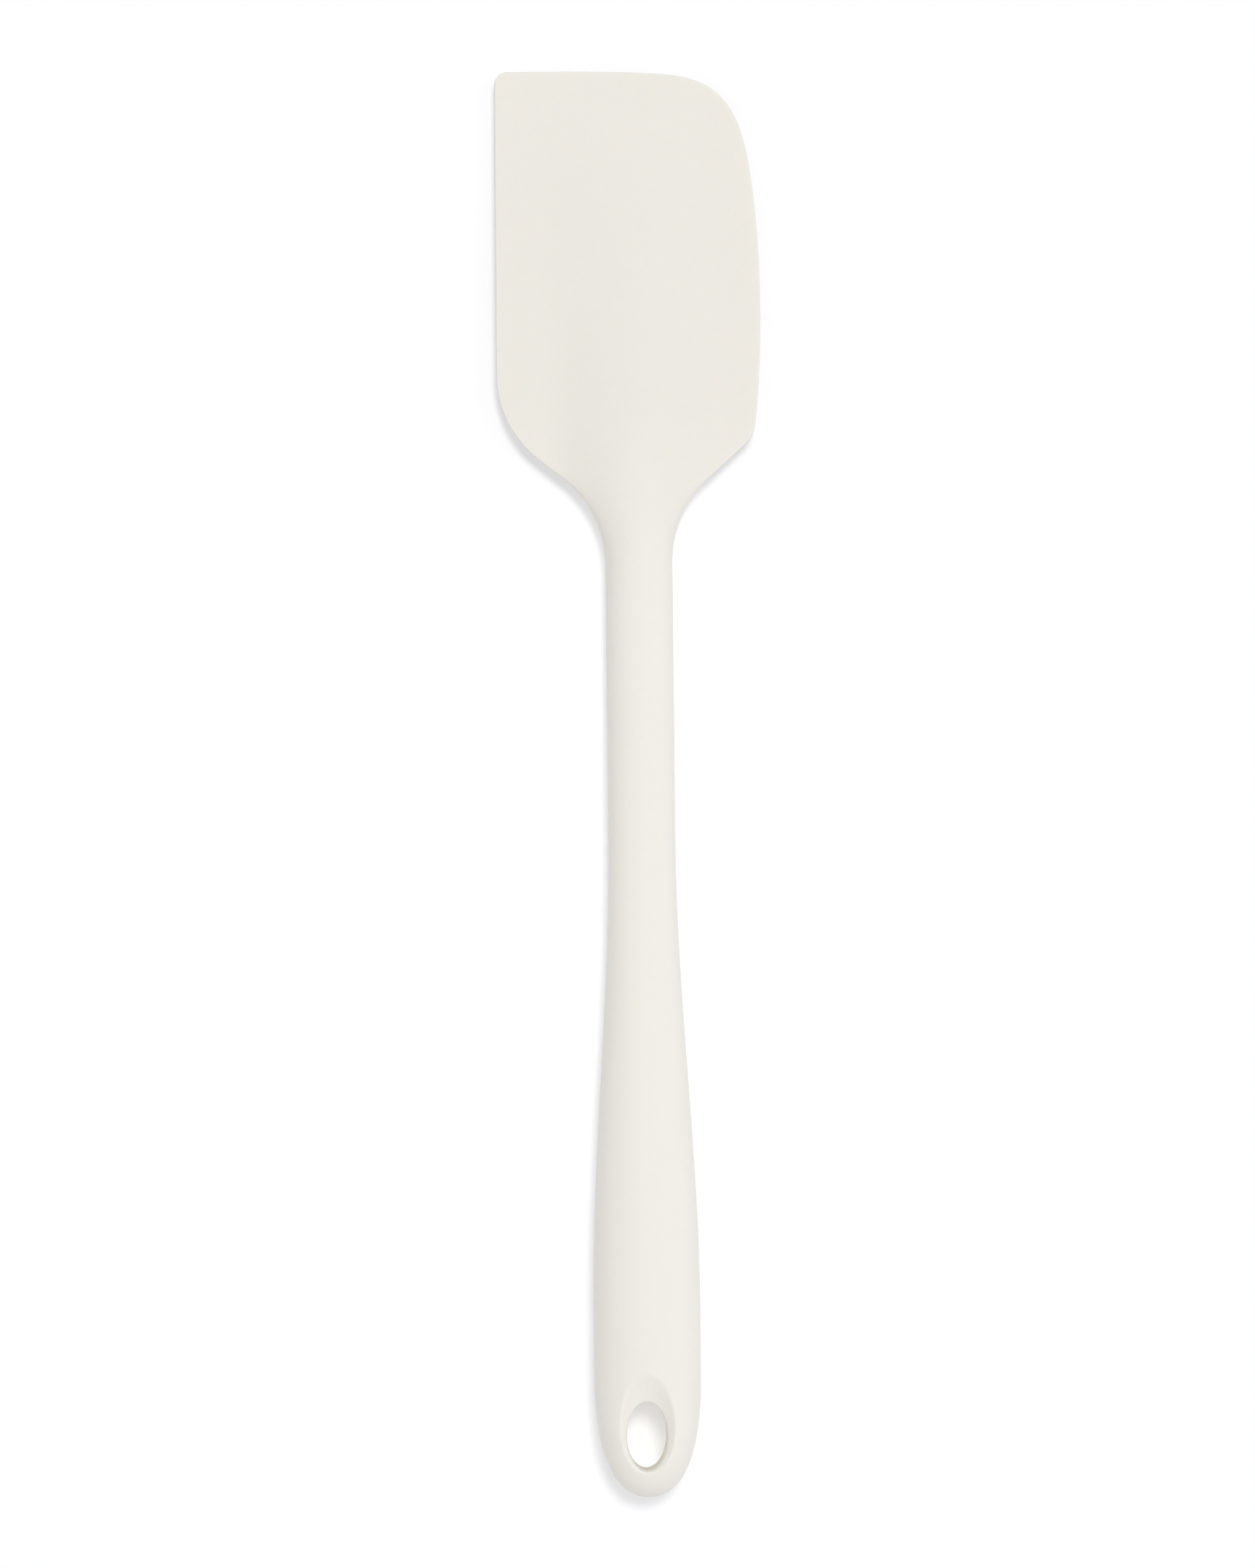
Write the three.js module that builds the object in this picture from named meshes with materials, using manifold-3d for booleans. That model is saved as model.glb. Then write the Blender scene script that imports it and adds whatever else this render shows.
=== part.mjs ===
// Silicone spatula: a seamless silicone skin moulded over a nylon core that holds a steel rod.
// Millimetres. While it is shaped, +X runs across the blade, +Y from butt to tip, +Z out of the blade's face.
import * as THREE from 'three';
import { LoftGeometry } from 'three/addons/geometries/LoftGeometry.js';
import { mergeVertices } from 'three/addons/utils/BufferGeometryUtils.js';
import initManifold from 'manifold-3d';

// Handle and shaft
const overallLength = 280;
const handleWidth = 20.95;
const handleThickness = 17;
const sectionFullness = 2.5;
const bellyFlat = 4.2;
const buttLength = 24.1;
const buttBluntness = 7.1;
const buttFlank = 9;
const buttCentre = 18;
const handleFullLength = 38;
const handleLength = 127.7;
const shaftWidth = 13.2;
const shaftThickness = 11;

// Blade outline: distances across from the axis, drops down from the tip
const shoulderAngleLeft = 38.4;
const shoulderAngleRight = 42.7;
const neckRadius = 21.8;
const neckDropLeft = 86.6;
const neckDropRight = 87;
const bladeLeft = 27.66;
const bladeLeftTip = 27.42;
const shoulderRadiusLeft = 21.2;
const tipRadiusLeft = 2.5;
const bladeRight = 22.86;
const shoulderRadiusRight = 5.6;
const bow = { across: 24.73, drop: 57.3 };
const bowEnd = { across: 22.6, drop: 19.5, lean: 0.149, below: 16.9, above: 11.2 };
const crownEnd = { across: 7.2, drop: 0.83, fall: 0.122, reach: 10.4 };
const crownTop = -18;

// Blade thickness
const bladeEdge = 2;
const bladeEdgeRadius = 0.15;
const bladeRoot = 5;
const ridgeHalfWidth = 18;
const ridgeFade = 6;
const ridgeDrop = 8;
const plateDrop = 75;
const flatDrop = 66;
const tipCentreDrop = 18;

// Hanging hole with its dished mouth on both faces
const holeCentre = 12.25;
const holeAcross = -0.35;
const holeWidth = 8;
const holeLength = 13.5;
const holeWaist = 0.1;
const holeRim = 6.5;
const dishRunAcross = 1.37;
const dishRunAlong = 2.7;

// Nylon core
const skinWall = 1.7;
const bladeWall = 1.2;
const holeLining = 1.6;
const eyeBand = 3.2;
const tongueWidth = 22;
const tongueEndWidth = 18;
const tongueFullDrop = 70;
const tongueEndDrop = 32;
const tongueCornerRadius = 6;
const tongueEdgeRadius = 0.5;

// Keys: holes through the core that the silicone fills
const handleKey = 3.2;
const handleKeyPlaces = [41, 55, 69];
const tongueKey = 5;
const tongueKeyAcross = 6;
const tongueKeyDrops = [67, 56, 45];

// Steel rod
const rodDiameter = 5;
const rodStart = 30;
const rodEndDrop = 79;
const grooveDepth = 0.5;
const grooveWidth = 3;
const grooveInset = 6;
const groovePitch = 8;

// Space between pieces that are moulded one over the other
const mouldGap = 0.3;

const tip = overallLength;
const handleHalf = handleWidth / 2;
const shaftHalf = shaftWidth / 2;
const edgeHalf = bladeEdge / 2;
const { clamp, degToRad, lerp, smoothstep } = THREE.MathUtils;
const flatFrom = Math.acos((bellyFlat / handleWidth) ** (sectionFullness / 2));
const slopeLeft = Math.tan(degToRad(shoulderAngleLeft));
const slopeRight = Math.tan(degToRad(shoulderAngleRight));
const neckStart = tip - neckDropLeft - neckRadius * Math.tan(degToRad((90 - shoulderAngleLeft) / 2));
const flatStart = tip - flatDrop;
const plateStart = tip - plateDrop;

function at(x, y) {
  return new THREE.Vector2(x, y);
}

function line(from, to) {
  return new THREE.LineCurve(from, to);
}

// Arc that rounds the corner of a path
function cornerArc(before, corner, after, radius) {
  const back = before.clone().sub(corner).normalize();
  const on = after.clone().sub(corner).normalize();
  const half = Math.acos(back.dot(on)) / 2;
  const middle = back.clone().add(on).normalize();
  const centre = corner.clone().addScaledVector(middle, radius / Math.sin(half));
  const from = corner.clone().addScaledVector(back, radius / Math.tan(half)).sub(centre);
  const to = corner.clone().addScaledVector(on, radius / Math.tan(half)).sub(centre);
  const clockwise = back.cross(on) > 0;
  return new THREE.EllipseCurve(centre.x, centre.y, radius, radius, from.angle(), to.angle(), clockwise);
}

// Points along joined curves, each curve cut into its own number of steps
function sample(run) {
  const points = [];
  run.forEach(([curve, steps]) => {
    for (let k = 0; k < steps; k += 1) {
      points.push(curve.getPoint(k / steps));
    }
  });
  points.push(run.at(-1)[0].getPoint(1));
  return points;
}

function mirror(points) {
  return points.map((p) => at(-p.x, p.y));
}

// Right side of handle and shaft, drawn in by an inset
function handleSide(inset, steps) {
  const third = (handleLength - handleFullLength) / 3;
  const run = [
    [new THREE.CubicBezierCurve(
      at(0, 0),
      at(buttBluntness, 0),
      at(handleHalf, buttFlank),
      at(handleHalf, buttLength),
    ), steps.butt],
    [line(at(handleHalf, buttLength), at(handleHalf, handleFullLength)), 1],
    [new THREE.CubicBezierCurve(
      at(handleHalf, handleFullLength),
      at(handleHalf, handleFullLength + third),
      at(shaftHalf, handleLength - third),
      at(shaftHalf, handleLength),
    ), steps.taper],
  ];
  const points = [];
  run.forEach(([curve, count]) => {
    for (let k = 0; k < count; k += 1) {
      const along = curve.getTangent(k / count);
      points.push(curve.getPoint(k / count).add(at(-along.y, along.x).multiplyScalar(inset)));
    }
  });
  points[0].setX(0);
  return points;
}

// Outline of the tool, right and left sides, each from butt to the top of the tip
function outline() {
  const steps = { butt: 9, taper: 10 };
  const handle = handleSide(0, steps);
  const top = at(crownTop, tip);
  const neckR = at(shaftHalf, tip - neckDropRight);
  const shoulderR = at(bladeRight, neckR.y + (bladeRight - shaftHalf) * slopeRight);
  const bowTo = at(bow.across, tip - bow.drop);
  const neckArcR = cornerArc(at(shaftHalf, 0), neckR, shoulderR, neckRadius);
  const shoulderArcR = cornerArc(neckR, shoulderR, bowTo, shoulderRadiusRight);
  const join = at(bowEnd.across, tip - bowEnd.drop);
  const lean = at(-bowEnd.lean, 1);
  const crown = at(crownEnd.across, tip - crownEnd.drop);
  const fall = at(-1, crownEnd.fall);
  const right = sample([
    [line(at(shaftHalf, handleLength), neckArcR.getPoint(0)), 3],
    [neckArcR, 5],
    [line(neckArcR.getPoint(1), shoulderArcR.getPoint(0)), 2],
    [shoulderArcR, 4],
    [new THREE.CubicBezierCurve(
      shoulderArcR.getPoint(1),
      bowTo,
      join.clone().addScaledVector(lean, -bowEnd.below),
      join,
    ), 6],
    [new THREE.CubicBezierCurve(
      join,
      join.clone().addScaledVector(lean, bowEnd.above),
      crown.clone().addScaledVector(fall, -crownEnd.reach),
      crown,
    ), 9],
    [new THREE.QuadraticBezierCurve(
      crown,
      crown.clone().addScaledVector(fall, crownEnd.drop / crownEnd.fall),
      top,
    ), 3],
  ]);
  const neckL = at(-shaftHalf, tip - neckDropLeft);
  const shoulderL = at(-bladeLeft, neckL.y + (bladeLeft - shaftHalf) * slopeLeft);
  const tipL = at(-bladeLeftTip, tip);
  const neckArcL = cornerArc(at(-shaftHalf, 0), neckL, shoulderL, neckRadius);
  const shoulderArcL = cornerArc(neckL, shoulderL, tipL, shoulderRadiusLeft);
  const tipArc = cornerArc(shoulderL, tipL, top, tipRadiusLeft);
  const left = sample([
    [line(at(-shaftHalf, handleLength), neckArcL.getPoint(0)), 3],
    [neckArcL, 5],
    [line(neckArcL.getPoint(1), shoulderArcL.getPoint(0)), 2],
    [shoulderArcL, 4],
    [line(shoulderArcL.getPoint(1), tipArc.getPoint(0)), 10],
    [tipArc, 5],
    [line(tipArc.getPoint(1), top), 3],
  ]);
  return { right: [...handle, ...right], left: [...mirror(handle), ...left] };
}

// Half the thickness on the axis, and over the blade
function spine(y) {
  const handle = lerp(handleThickness / 2, shaftThickness / 2, smoothstep(y, handleFullLength, handleLength));
  const along = clamp((y - flatStart) / (tip - ridgeDrop - flatStart), 0, 1);
  const blade = lerp(bladeRoot / 2, edgeHalf, along);
  return lerp(handle, blade, smoothstep(y, neckStart, flatStart));
}

function ridge(x, y) {
  const s = Math.min(Math.abs(x) / ridgeHalfWidth, 1);
  return (spine(y) - edgeHalf) * (1 - s * s) ** 2;
}

// How far the section has turned from the shaft's oval to the blade's plate
function plateShare(y) {
  return smoothstep(y, neckStart, plateStart);
}

function rounded(depth, radius) {
  const t = Math.min(depth / radius, 1);
  return Math.sqrt(1 - (1 - t) ** 2);
}

// Oval with a narrow flat on top and underneath, on which the tool lies without rolling
function oval(share) {
  const round = Math.max(1 - (1 - share) ** sectionFullness, 0) ** (1 / sectionFullness);
  return Math.min(round / Math.sin(flatFrom) ** (2 / sectionFullness), 1);
}

// Body lofted from its two sides: every section runs from one side over the axis to the other
function loftBody(sides, centres, edgeRadius, steps, halfThickness) {
  const edgeSteps = 3;
  const sections = sides.right.map((right, i) => {
    const left = sides.left[i];
    const middle = (left.y + right.y) / 2;
    const foot = at(0, clamp(middle, centres.butt, centres.tip));
    const blend = plateShare(middle);
    const half = (side) => {
      const reach = side.distanceTo(foot);
      const points = [];
      for (let j = 0; j <= steps; j += 1) {
        const edge = edgeRadius / reach;
        const flange = Math.max(1 - ridgeHalfWidth / reach, edge + (1 - edge) / (steps - edgeSteps));
        const turn = (j / (steps - 1)) * flatFrom;
        const roundStep = j < steps ? 1 - Math.cos(turn) ** (2 / sectionFullness) : 1;
        const flatStep = j <= edgeSteps
          ? edge * (1 - Math.cos((j / edgeSteps) * Math.PI / 2))
          : lerp(flange, 1, (j - edgeSteps - 1) / (steps - edgeSteps - 1));
        const share = lerp(roundStep, flatStep, blend);
        const p = side.clone().lerp(foot, share);
        points.push(new THREE.Vector3(p.x, p.y, halfThickness(p, foot, share, share * reach)));
      }
      return points;
    };
    const under = (p) => new THREE.Vector3(p.x, p.y, -p.z);
    const l = half(left);
    const r = half(right);
    const upper = [...l, ...r.slice(0, -1).reverse()];
    return [...upper, ...upper.slice().reverse().map(under)];
  });
  return new LoftGeometry(sections);
}

function outerBody() {
  const centres = { butt: buttCentre, tip: tip - tipCentreDrop };
  return loftBody(outline(), centres, bladeEdgeRadius, 9, (p, foot, share, depth) => {
    const shaft = spine(foot.y) * oval(share);
    const plate = edgeHalf - bladeEdgeRadius * (1 - rounded(depth, bladeEdgeRadius));
    const blade = plate + ridge(p.x, p.y) * rounded(depth, ridgeFade);
    return lerp(shaft, blade, plateShare(p.y));
  });
}

// Core before its holes are cut; grown by the mould gap it is the space the skin leaves for it
function coreBody(grow) {
  const inset = skinWall - grow;
  const shaftCore = shaftHalf - inset;
  const full = tongueWidth / 2 + grow;
  const end = at(tongueEndWidth / 2 + grow, tip - tongueEndDrop + grow);
  const fullAt = tip - tongueFullDrop;
  const corner = cornerArc(at(full, fullAt), end, at(0, end.y), tongueCornerRadius + grow);
  const third = (fullAt - neckStart) / 3;
  const side = [
    ...handleSide(inset, { butt: 8, taper: 6 }),
    ...sample([
      [line(at(shaftCore, handleLength), at(shaftCore, neckStart)), 2],
      [new THREE.CubicBezierCurve(
        at(shaftCore, neckStart),
        at(shaftCore, neckStart + third),
        at(full, fullAt - third),
        at(full, fullAt),
      ), 5],
      [line(at(full, fullAt), corner.getPoint(0)), 4],
      [corner, 4],
      [line(corner.getPoint(1), at(0, end.y)), 2],
    ]),
  ];
  const sides = { right: side, left: mirror(side) };
  const centres = { butt: buttCentre, tip: tip - tongueEndDrop - tongueCornerRadius };
  return loftBody(sides, centres, tongueEdgeRadius, 6, (p, foot, share, depth) => {
    const shaft = (spine(foot.y) - inset) * oval(share);
    const plate = edgeHalf + ridge(p.x, p.y) - bladeWall + grow;
    const tongue = plate * rounded(depth, tongueEdgeRadius);
    return lerp(shaft, tongue, plateShare(p.y));
  });
}

// Upright cutter through elliptical levels, each given as height, half width and half length
function ellipseStack(levels) {
  const sections = levels.map(([z, across, along]) => {
    const ring = new THREE.EllipseCurve(holeAcross, holeCentre, across, along).getPoints(32).slice(0, -1);
    return ring.map((p) => new THREE.Vector3(p.x, p.y, z));
  });
  return new LoftGeometry(sections, { capStart: true, capEnd: true });
}

function bothFaces(upper) {
  const lower = upper.filter(([z]) => z > 0).map(([z, a, b]) => [-z, a, b]);
  return [...lower.reverse(), ...upper];
}

function holeInset(z) {
  return holeWaist * (1 - (z / holeRim) ** 2);
}

function holeLevel(z, out) {
  return [z, holeWidth / 2 - holeInset(z) + out, holeLength / 2 - holeInset(z) + out];
}

// Run of the dish for each millimetre that it rises above the rim
function dishLevel(rise, out, down) {
  const across = holeWidth / 2 + dishRunAcross * rise;
  const along = holeLength / 2 + dishRunAlong * rise;
  return [holeRim + rise - down, across + out, along + out];
}

function hangingHole() {
  const clear = handleThickness / 2 + 1 - holeRim;
  return ellipseStack(bothFaces([
    holeLevel(0, 0),
    holeLevel(holeRim / 2, 0),
    holeLevel(holeRim, 0),
    dishLevel(clear, 0, 0),
  ]));
}

// Eye of the core: it meets the hole's wall in a band and stands back from the silicone lining elsewhere
function eyeCut(grow) {
  const out = holeLining - grow;
  const bandTop = eyeBand / 2 + grow;
  const clear = handleThickness / 2 + 1 - holeRim + out;
  const lined = holeLevel(holeRim, out);
  return ellipseStack(bothFaces([
    holeLevel(0, -grow),
    holeLevel(bandTop, -grow),
    [bandTop, lined[1], lined[2]],
    dishLevel(0, out, out),
    dishLevel(clear, out, out),
  ]));
}

// Turned rod with ring grooves near both ends
function turnedRod(grow) {
  const radius = rodDiameter / 2 + grow;
  const start = rodStart - grow;
  const end = tip - rodEndDrop + grow;
  const starts = [
    rodStart + grooveInset,
    rodStart + grooveInset + groovePitch,
    tip - rodEndDrop - grooveInset - groovePitch - grooveWidth,
    tip - rodEndDrop - grooveInset - grooveWidth,
  ];
  const profile = [at(0, start), at(radius, start)];
  starts.forEach((y) => {
    const from = y + grow;
    const to = y + grooveWidth - grow;
    profile.push(at(radius, from));
    profile.push(at(radius - grooveDepth, from));
    profile.push(at(radius - grooveDepth, to));
    profile.push(at(radius, to));
  });
  profile.push(at(radius, end));
  profile.push(at(0, end));
  return new THREE.LatheGeometry(profile, 24);
}

function keyHole(x, y, diameter) {
  const key = new THREE.CylinderGeometry(diameter / 2, diameter / 2, handleThickness, 16);
  return key.rotateX(Math.PI / 2).translate(x, y, 0);
}

function keyHoles(grow) {
  const keys = [];
  handleKeyPlaces.forEach((y) => {
    const half = lerp(handleHalf, shaftHalf, smoothstep(y, handleFullLength, handleLength)) - skinWall;
    const across = (rodDiameter / 2 + mouldGap + half) / 2;
    keys.push(keyHole(-across, y, handleKey - 2 * grow));
    keys.push(keyHole(across, y, handleKey - 2 * grow));
  });
  tongueKeyDrops.forEach((drop) => {
    keys.push(keyHole(-tongueKeyAcross, tip - drop, tongueKey - 2 * grow));
    keys.push(keyHole(tongueKeyAcross, tip - drop, tongueKey - 2 * grow));
  });
  return keys;
}

const wasm = await initManifold();
wasm.setup();

// Closed solid from a geometry: welded, with the triangles that collapse at its ends left out
function solid(geometry) {
  const plain = new THREE.BufferGeometry();
  plain.setAttribute('position', geometry.getAttribute('position'));
  plain.setIndex(geometry.getIndex());
  const welded = mergeVertices(plain, 1e-4);
  const corners = welded.getIndex().array;
  const kept = [];
  for (let k = 0; k < corners.length; k += 3) {
    const [a, b, c] = corners.slice(k, k + 3);
    if (a !== b && b !== c && c !== a) {
      kept.push(a, b, c);
    }
  }
  return new wasm.Manifold(new wasm.Mesh({
    numProp: 3,
    vertProperties: new Float32Array(welded.getAttribute('position').array),
    triVerts: new Uint32Array(kept),
  }));
}

function cut(body, cutters) {
  return cutters.reduce((rest, cutter) => rest.subtract(cutter), body);
}

function geometryOf(body) {
  const mesh = body.getMesh();
  const geometry = new THREE.BufferGeometry();
  geometry.setAttribute('position', new THREE.BufferAttribute(mesh.vertProperties, 3));
  geometry.setIndex(new THREE.BufferAttribute(mesh.triVerts, 1));
  return geometry;
}

const rodSolid = solid(turnedRod(0));
const rodSpace = solid(turnedRod(mouldGap));
const coreSolid = cut(solid(coreBody(0)), [solid(eyeCut(0)), rodSpace, ...keyHoles(0).map(solid)]);
const coreSpace = cut(solid(coreBody(mouldGap)), [solid(eyeCut(mouldGap)), ...keyHoles(mouldGap).map(solid)]);
const skinSolid = cut(solid(outerBody()), [solid(hangingHole()), coreSpace, rodSpace]);

const skin = geometryOf(skinSolid);
const core = geometryOf(coreSolid);
const rod = geometryOf(rodSolid);

// Lying at rest: handle belly and neck both touch the table, box centred over the origin
const restTilt = Math.atan2((handleThickness - shaftThickness) / 2, neckStart - handleFullLength);
const pieces = [skin, core, rod];
pieces.forEach((piece) => piece.rotateX(-restTilt));
skin.computeBoundingBox();
const box = skin.boundingBox.clone();
const centre = box.getCenter(new THREE.Vector3());
pieces.forEach((piece) => piece.translate(-centre.x, -centre.y, -box.min.z));

function named(name, geometry, color, roughness, metalness) {
  const material = new THREE.MeshStandardMaterial({ color, roughness, metalness });
  const mesh = new THREE.Mesh(geometry, material);
  mesh.name = name;
  return mesh;
}

const spatula = new THREE.Group();
spatula.name = 'silicone_spatula';
spatula.add(named('silicone_skin', skin, 0xebe8df, 0.6, 0));
spatula.add(named('nylon_core', core, 0xd8d2bf, 0.55, 0));
spatula.add(named('steel_rod', rod, 0xc4c6c8, 0.35, 1));

export default spatula;
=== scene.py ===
# %% [markdown]
# # A one-piece silicone spatula
# The real tool is a soft ivory skin, moulded in one shot over a stiff nylon core with a steel rod in it.
# Nothing of the core shows except a thin band inside the hanging hole.
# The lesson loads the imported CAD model, makes a fine skin from one Geometry Nodes rule,
# gives each material its finish, and sets a white table, soft light and a camera overhead.

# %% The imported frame
import math

import bpy
import numpy as np
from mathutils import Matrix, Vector


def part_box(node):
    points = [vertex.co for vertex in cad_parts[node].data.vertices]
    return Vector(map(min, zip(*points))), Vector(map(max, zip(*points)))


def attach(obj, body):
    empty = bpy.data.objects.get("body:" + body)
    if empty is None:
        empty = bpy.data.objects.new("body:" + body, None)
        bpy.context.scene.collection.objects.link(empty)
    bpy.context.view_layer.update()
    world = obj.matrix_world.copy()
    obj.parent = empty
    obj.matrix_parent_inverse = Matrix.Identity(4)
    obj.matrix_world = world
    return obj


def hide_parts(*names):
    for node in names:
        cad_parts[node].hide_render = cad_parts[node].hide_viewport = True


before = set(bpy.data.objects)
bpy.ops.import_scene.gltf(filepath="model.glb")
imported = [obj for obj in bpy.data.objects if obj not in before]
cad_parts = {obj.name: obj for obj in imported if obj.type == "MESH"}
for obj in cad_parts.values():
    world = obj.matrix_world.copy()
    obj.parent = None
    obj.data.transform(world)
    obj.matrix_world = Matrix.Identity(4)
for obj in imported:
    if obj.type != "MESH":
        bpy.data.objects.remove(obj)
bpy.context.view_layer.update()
print("CAD nodes:", sorted(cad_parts))

# %% [markdown]
# ## The outline
# Seen from above the tool is one closed line: a blunt butt, a handle that tapers to a slim shaft,
# two sloping shoulders, a straight scraping edge on the left and a bowed edge on the right.
# It could be drawn as a Blender curve. Here it is a list of points in plain numpy,
# because the rule for the thickness needs distances to this line at every point of the sheet.
# Sizes are the CAD part's own, in millimetres: x across, y from butt to tip.

# %% Sizes of the outline
MM = 0.001
LENGTH = 280.0
HANDLE_HALF, SHAFT_HALF = 20.95 / 2, 13.2 / 2
BUTT_LENGTH, BUTT_BLUNTNESS, BUTT_FLANK = 24.1, 7.1, 9.0
HANDLE_FULL, HANDLE_END = 38.0, 127.7
SHOULDER_LEFT, SHOULDER_RIGHT = math.radians(38.4), math.radians(42.7)
NECK_RADIUS = 21.8
NECK_LEFT, NECK_RIGHT = LENGTH - 86.6, LENGTH - 87.0
BLADE_LEFT, BLADE_LEFT_TIP, BLADE_RIGHT = 27.66, 27.42, 22.86
SHOULDER_RADIUS_LEFT, SHOULDER_RADIUS_RIGHT, TIP_RADIUS = 21.2, 5.6, 2.5
BOW = np.array([24.73, LENGTH - 57.3])
BOW_END, BOW_LEAN = np.array([22.6, LENGTH - 19.5]), np.array([-0.149, 1.0])
BOW_BELOW, BOW_ABOVE = 16.9, 11.2
CROWN_DROP, CROWN_SLOPE, CROWN_REACH = 0.83, 0.122, 10.4
CROWN, CROWN_FALL = np.array([7.2, LENGTH - CROWN_DROP]), np.array([-1.0, CROWN_SLOPE])
CROWN_LEFT = CROWN_DROP / CROWN_SLOPE
TIP_TOP = np.array([-18.0, LENGTH])
# Steps along each run of the outline. Both sides have as many, so that they pair up.
STEPS = {
    "butt": 44, "flank": 6, "taper": 100, "shaft": 30, "neck": 24, "slope": 10, "shoulder": 20,
    "bow": 36, "crown": 48, "edge": 60, "tip": 24, "top": 16,
}
print("outline of a tool %.0f mm long, with %.1f mm of handle" % (LENGTH, HANDLE_END))


def bezier(steps, *knots):
    """Points along a Bezier curve of any degree; two knots make a straight line."""
    level = np.repeat(np.array(knots, float)[None], steps + 1, axis=0)
    share = (np.arange(steps + 1) / steps)[:, None, None]
    while level.shape[1] > 1:
        level = level[:, :-1] * (1 - share) + level[:, 1:] * share
    return level[:, 0]


def unit(vector):
    """Vector of length 1 that points the same way."""
    return vector / np.linalg.norm(vector)


def corner_arc(steps, before, corner, after, radius):
    """Points along the arc that rounds a corner."""
    back, on = unit(np.subtract(before, corner)), unit(np.subtract(after, corner))
    half = math.acos(back @ on) / 2
    centre = corner + unit(back + on) * radius / math.sin(half)
    reach = radius / math.tan(half)
    start = corner + back * reach - centre
    end = corner + on * reach - centre
    first = math.atan2(start[1], start[0])
    sweep = math.remainder(math.atan2(end[1], end[0]) - first, math.tau)
    turn = first + sweep * np.arange(steps + 1) / steps
    return centre + radius * np.column_stack([np.cos(turn), np.sin(turn)])


def joined(*runs):
    """One line from runs that each start where the one before ends."""
    return np.vstack([run[:-1] for run in runs] + [runs[-1][-1:]])


# %% Right and left sides, from butt to tip
third = (HANDLE_END - HANDLE_FULL) / 3
handle_side = joined(
    bezier(
        STEPS["butt"],
        (0, 0), (BUTT_BLUNTNESS, 0), (HANDLE_HALF, BUTT_FLANK), (HANDLE_HALF, BUTT_LENGTH),
    ),
    bezier(STEPS["flank"], (HANDLE_HALF, BUTT_LENGTH), (HANDLE_HALF, HANDLE_FULL)),
    bezier(
        STEPS["taper"],
        (HANDLE_HALF, HANDLE_FULL), (HANDLE_HALF, HANDLE_FULL + third),
        (SHAFT_HALF, HANDLE_END - third), (SHAFT_HALF, HANDLE_END),
    ),
)
shaft_end = handle_side[-1]

neck = np.array([SHAFT_HALF, NECK_RIGHT])
shoulder = np.array([BLADE_RIGHT, NECK_RIGHT + (BLADE_RIGHT - SHAFT_HALF) * math.tan(SHOULDER_RIGHT)])
neck_arc = corner_arc(STEPS["neck"], shaft_end, neck, shoulder, NECK_RADIUS)
shoulder_arc = corner_arc(STEPS["shoulder"], neck, shoulder, BOW, SHOULDER_RADIUS_RIGHT)
right = joined(
    handle_side,
    bezier(STEPS["shaft"], shaft_end, neck_arc[0]),
    neck_arc,
    bezier(STEPS["slope"], neck_arc[-1], shoulder_arc[0]),
    shoulder_arc,
    bezier(STEPS["bow"], shoulder_arc[-1], BOW, BOW_END - BOW_LEAN * BOW_BELOW, BOW_END),
    bezier(
        STEPS["crown"],
        BOW_END, BOW_END + BOW_LEAN * BOW_ABOVE, CROWN - CROWN_FALL * CROWN_REACH, CROWN,
    ),
    bezier(STEPS["top"], CROWN, CROWN + CROWN_FALL * CROWN_LEFT, TIP_TOP),
)

mirror = np.array([-1, 1])
neck = np.array([-SHAFT_HALF, NECK_LEFT])
shoulder = np.array([-BLADE_LEFT, NECK_LEFT + (BLADE_LEFT - SHAFT_HALF) * math.tan(SHOULDER_LEFT)])
tip_corner = np.array([-BLADE_LEFT_TIP, LENGTH])
neck_arc = corner_arc(STEPS["neck"], shaft_end * mirror, neck, shoulder, NECK_RADIUS)
shoulder_arc = corner_arc(STEPS["shoulder"], neck, shoulder, tip_corner, SHOULDER_RADIUS_LEFT)
tip_arc = corner_arc(STEPS["tip"], shoulder, tip_corner, TIP_TOP, TIP_RADIUS)
left = joined(
    handle_side * mirror,
    bezier(STEPS["shaft"], shaft_end * mirror, neck_arc[0]),
    neck_arc,
    bezier(STEPS["slope"], neck_arc[-1], shoulder_arc[0]),
    shoulder_arc,
    bezier(STEPS["edge"], shoulder_arc[-1], tip_arc[0]),
    tip_arc,
    bezier(STEPS["top"], tip_arc[-1], TIP_TOP),
)
print("stations on each side:", len(right), len(left))

# %% [markdown]
# ## The plan sheet
# The skin starts as a flat sheet inside the outline, with a hole where the tool hangs.
# Lines of points run inwards from the outline, to the tool's axis or to the hanging hole.
# They crowd together at the rim and at the hole, where the surface will turn fastest.
# A filled and subdivided curve would do, but its triangles would show as streaks in the satin light.
#
# The rim carries a bead as thin as a hair: the line where the two halves of the mould met.

# %% Lines of points from the rim inwards
# Bead on the rim: how far it stands out, half its height, and a point that rounds it
BEAD_PROUD, BEAD_HALF = 0.05, 0.10
BEAD_ROUND_IN, BEAD_ROUND_UP = 0.02, 0.06
EDGE_ROUND = 0.15
# Hanging hole: its place and size, how far the wall draws in, the rim's height and half the nylon band's.
# The skin's wall ends at the band and turns outwards behind it by the depth of the groove.
HOLE_ACROSS, HOLE_CENTRE = -0.35, 12.25
HOLE_HALF_WIDTH, HOLE_HALF_LENGTH = 4.0, 6.75
HOLE_WAIST, HOLE_RIM, BAND_HALF = 0.1, 6.5, 1.62
WALL_HEIGHTS, GROOVE_DEPTH = (4.5, 3.0, BAND_HALF), 0.5
HOLE_ROWS = len(WALL_HEIGHTS) + 2
NECK_FROM = NECK_LEFT - NECK_RADIUS * math.tan((math.pi / 2 - SHOULDER_LEFT) / 2)
PLATE_FROM = LENGTH - 75.0
TIP_CENTRE = LENGTH - 18.0
RINGS, EDGE_RINGS = 44, 8
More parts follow.
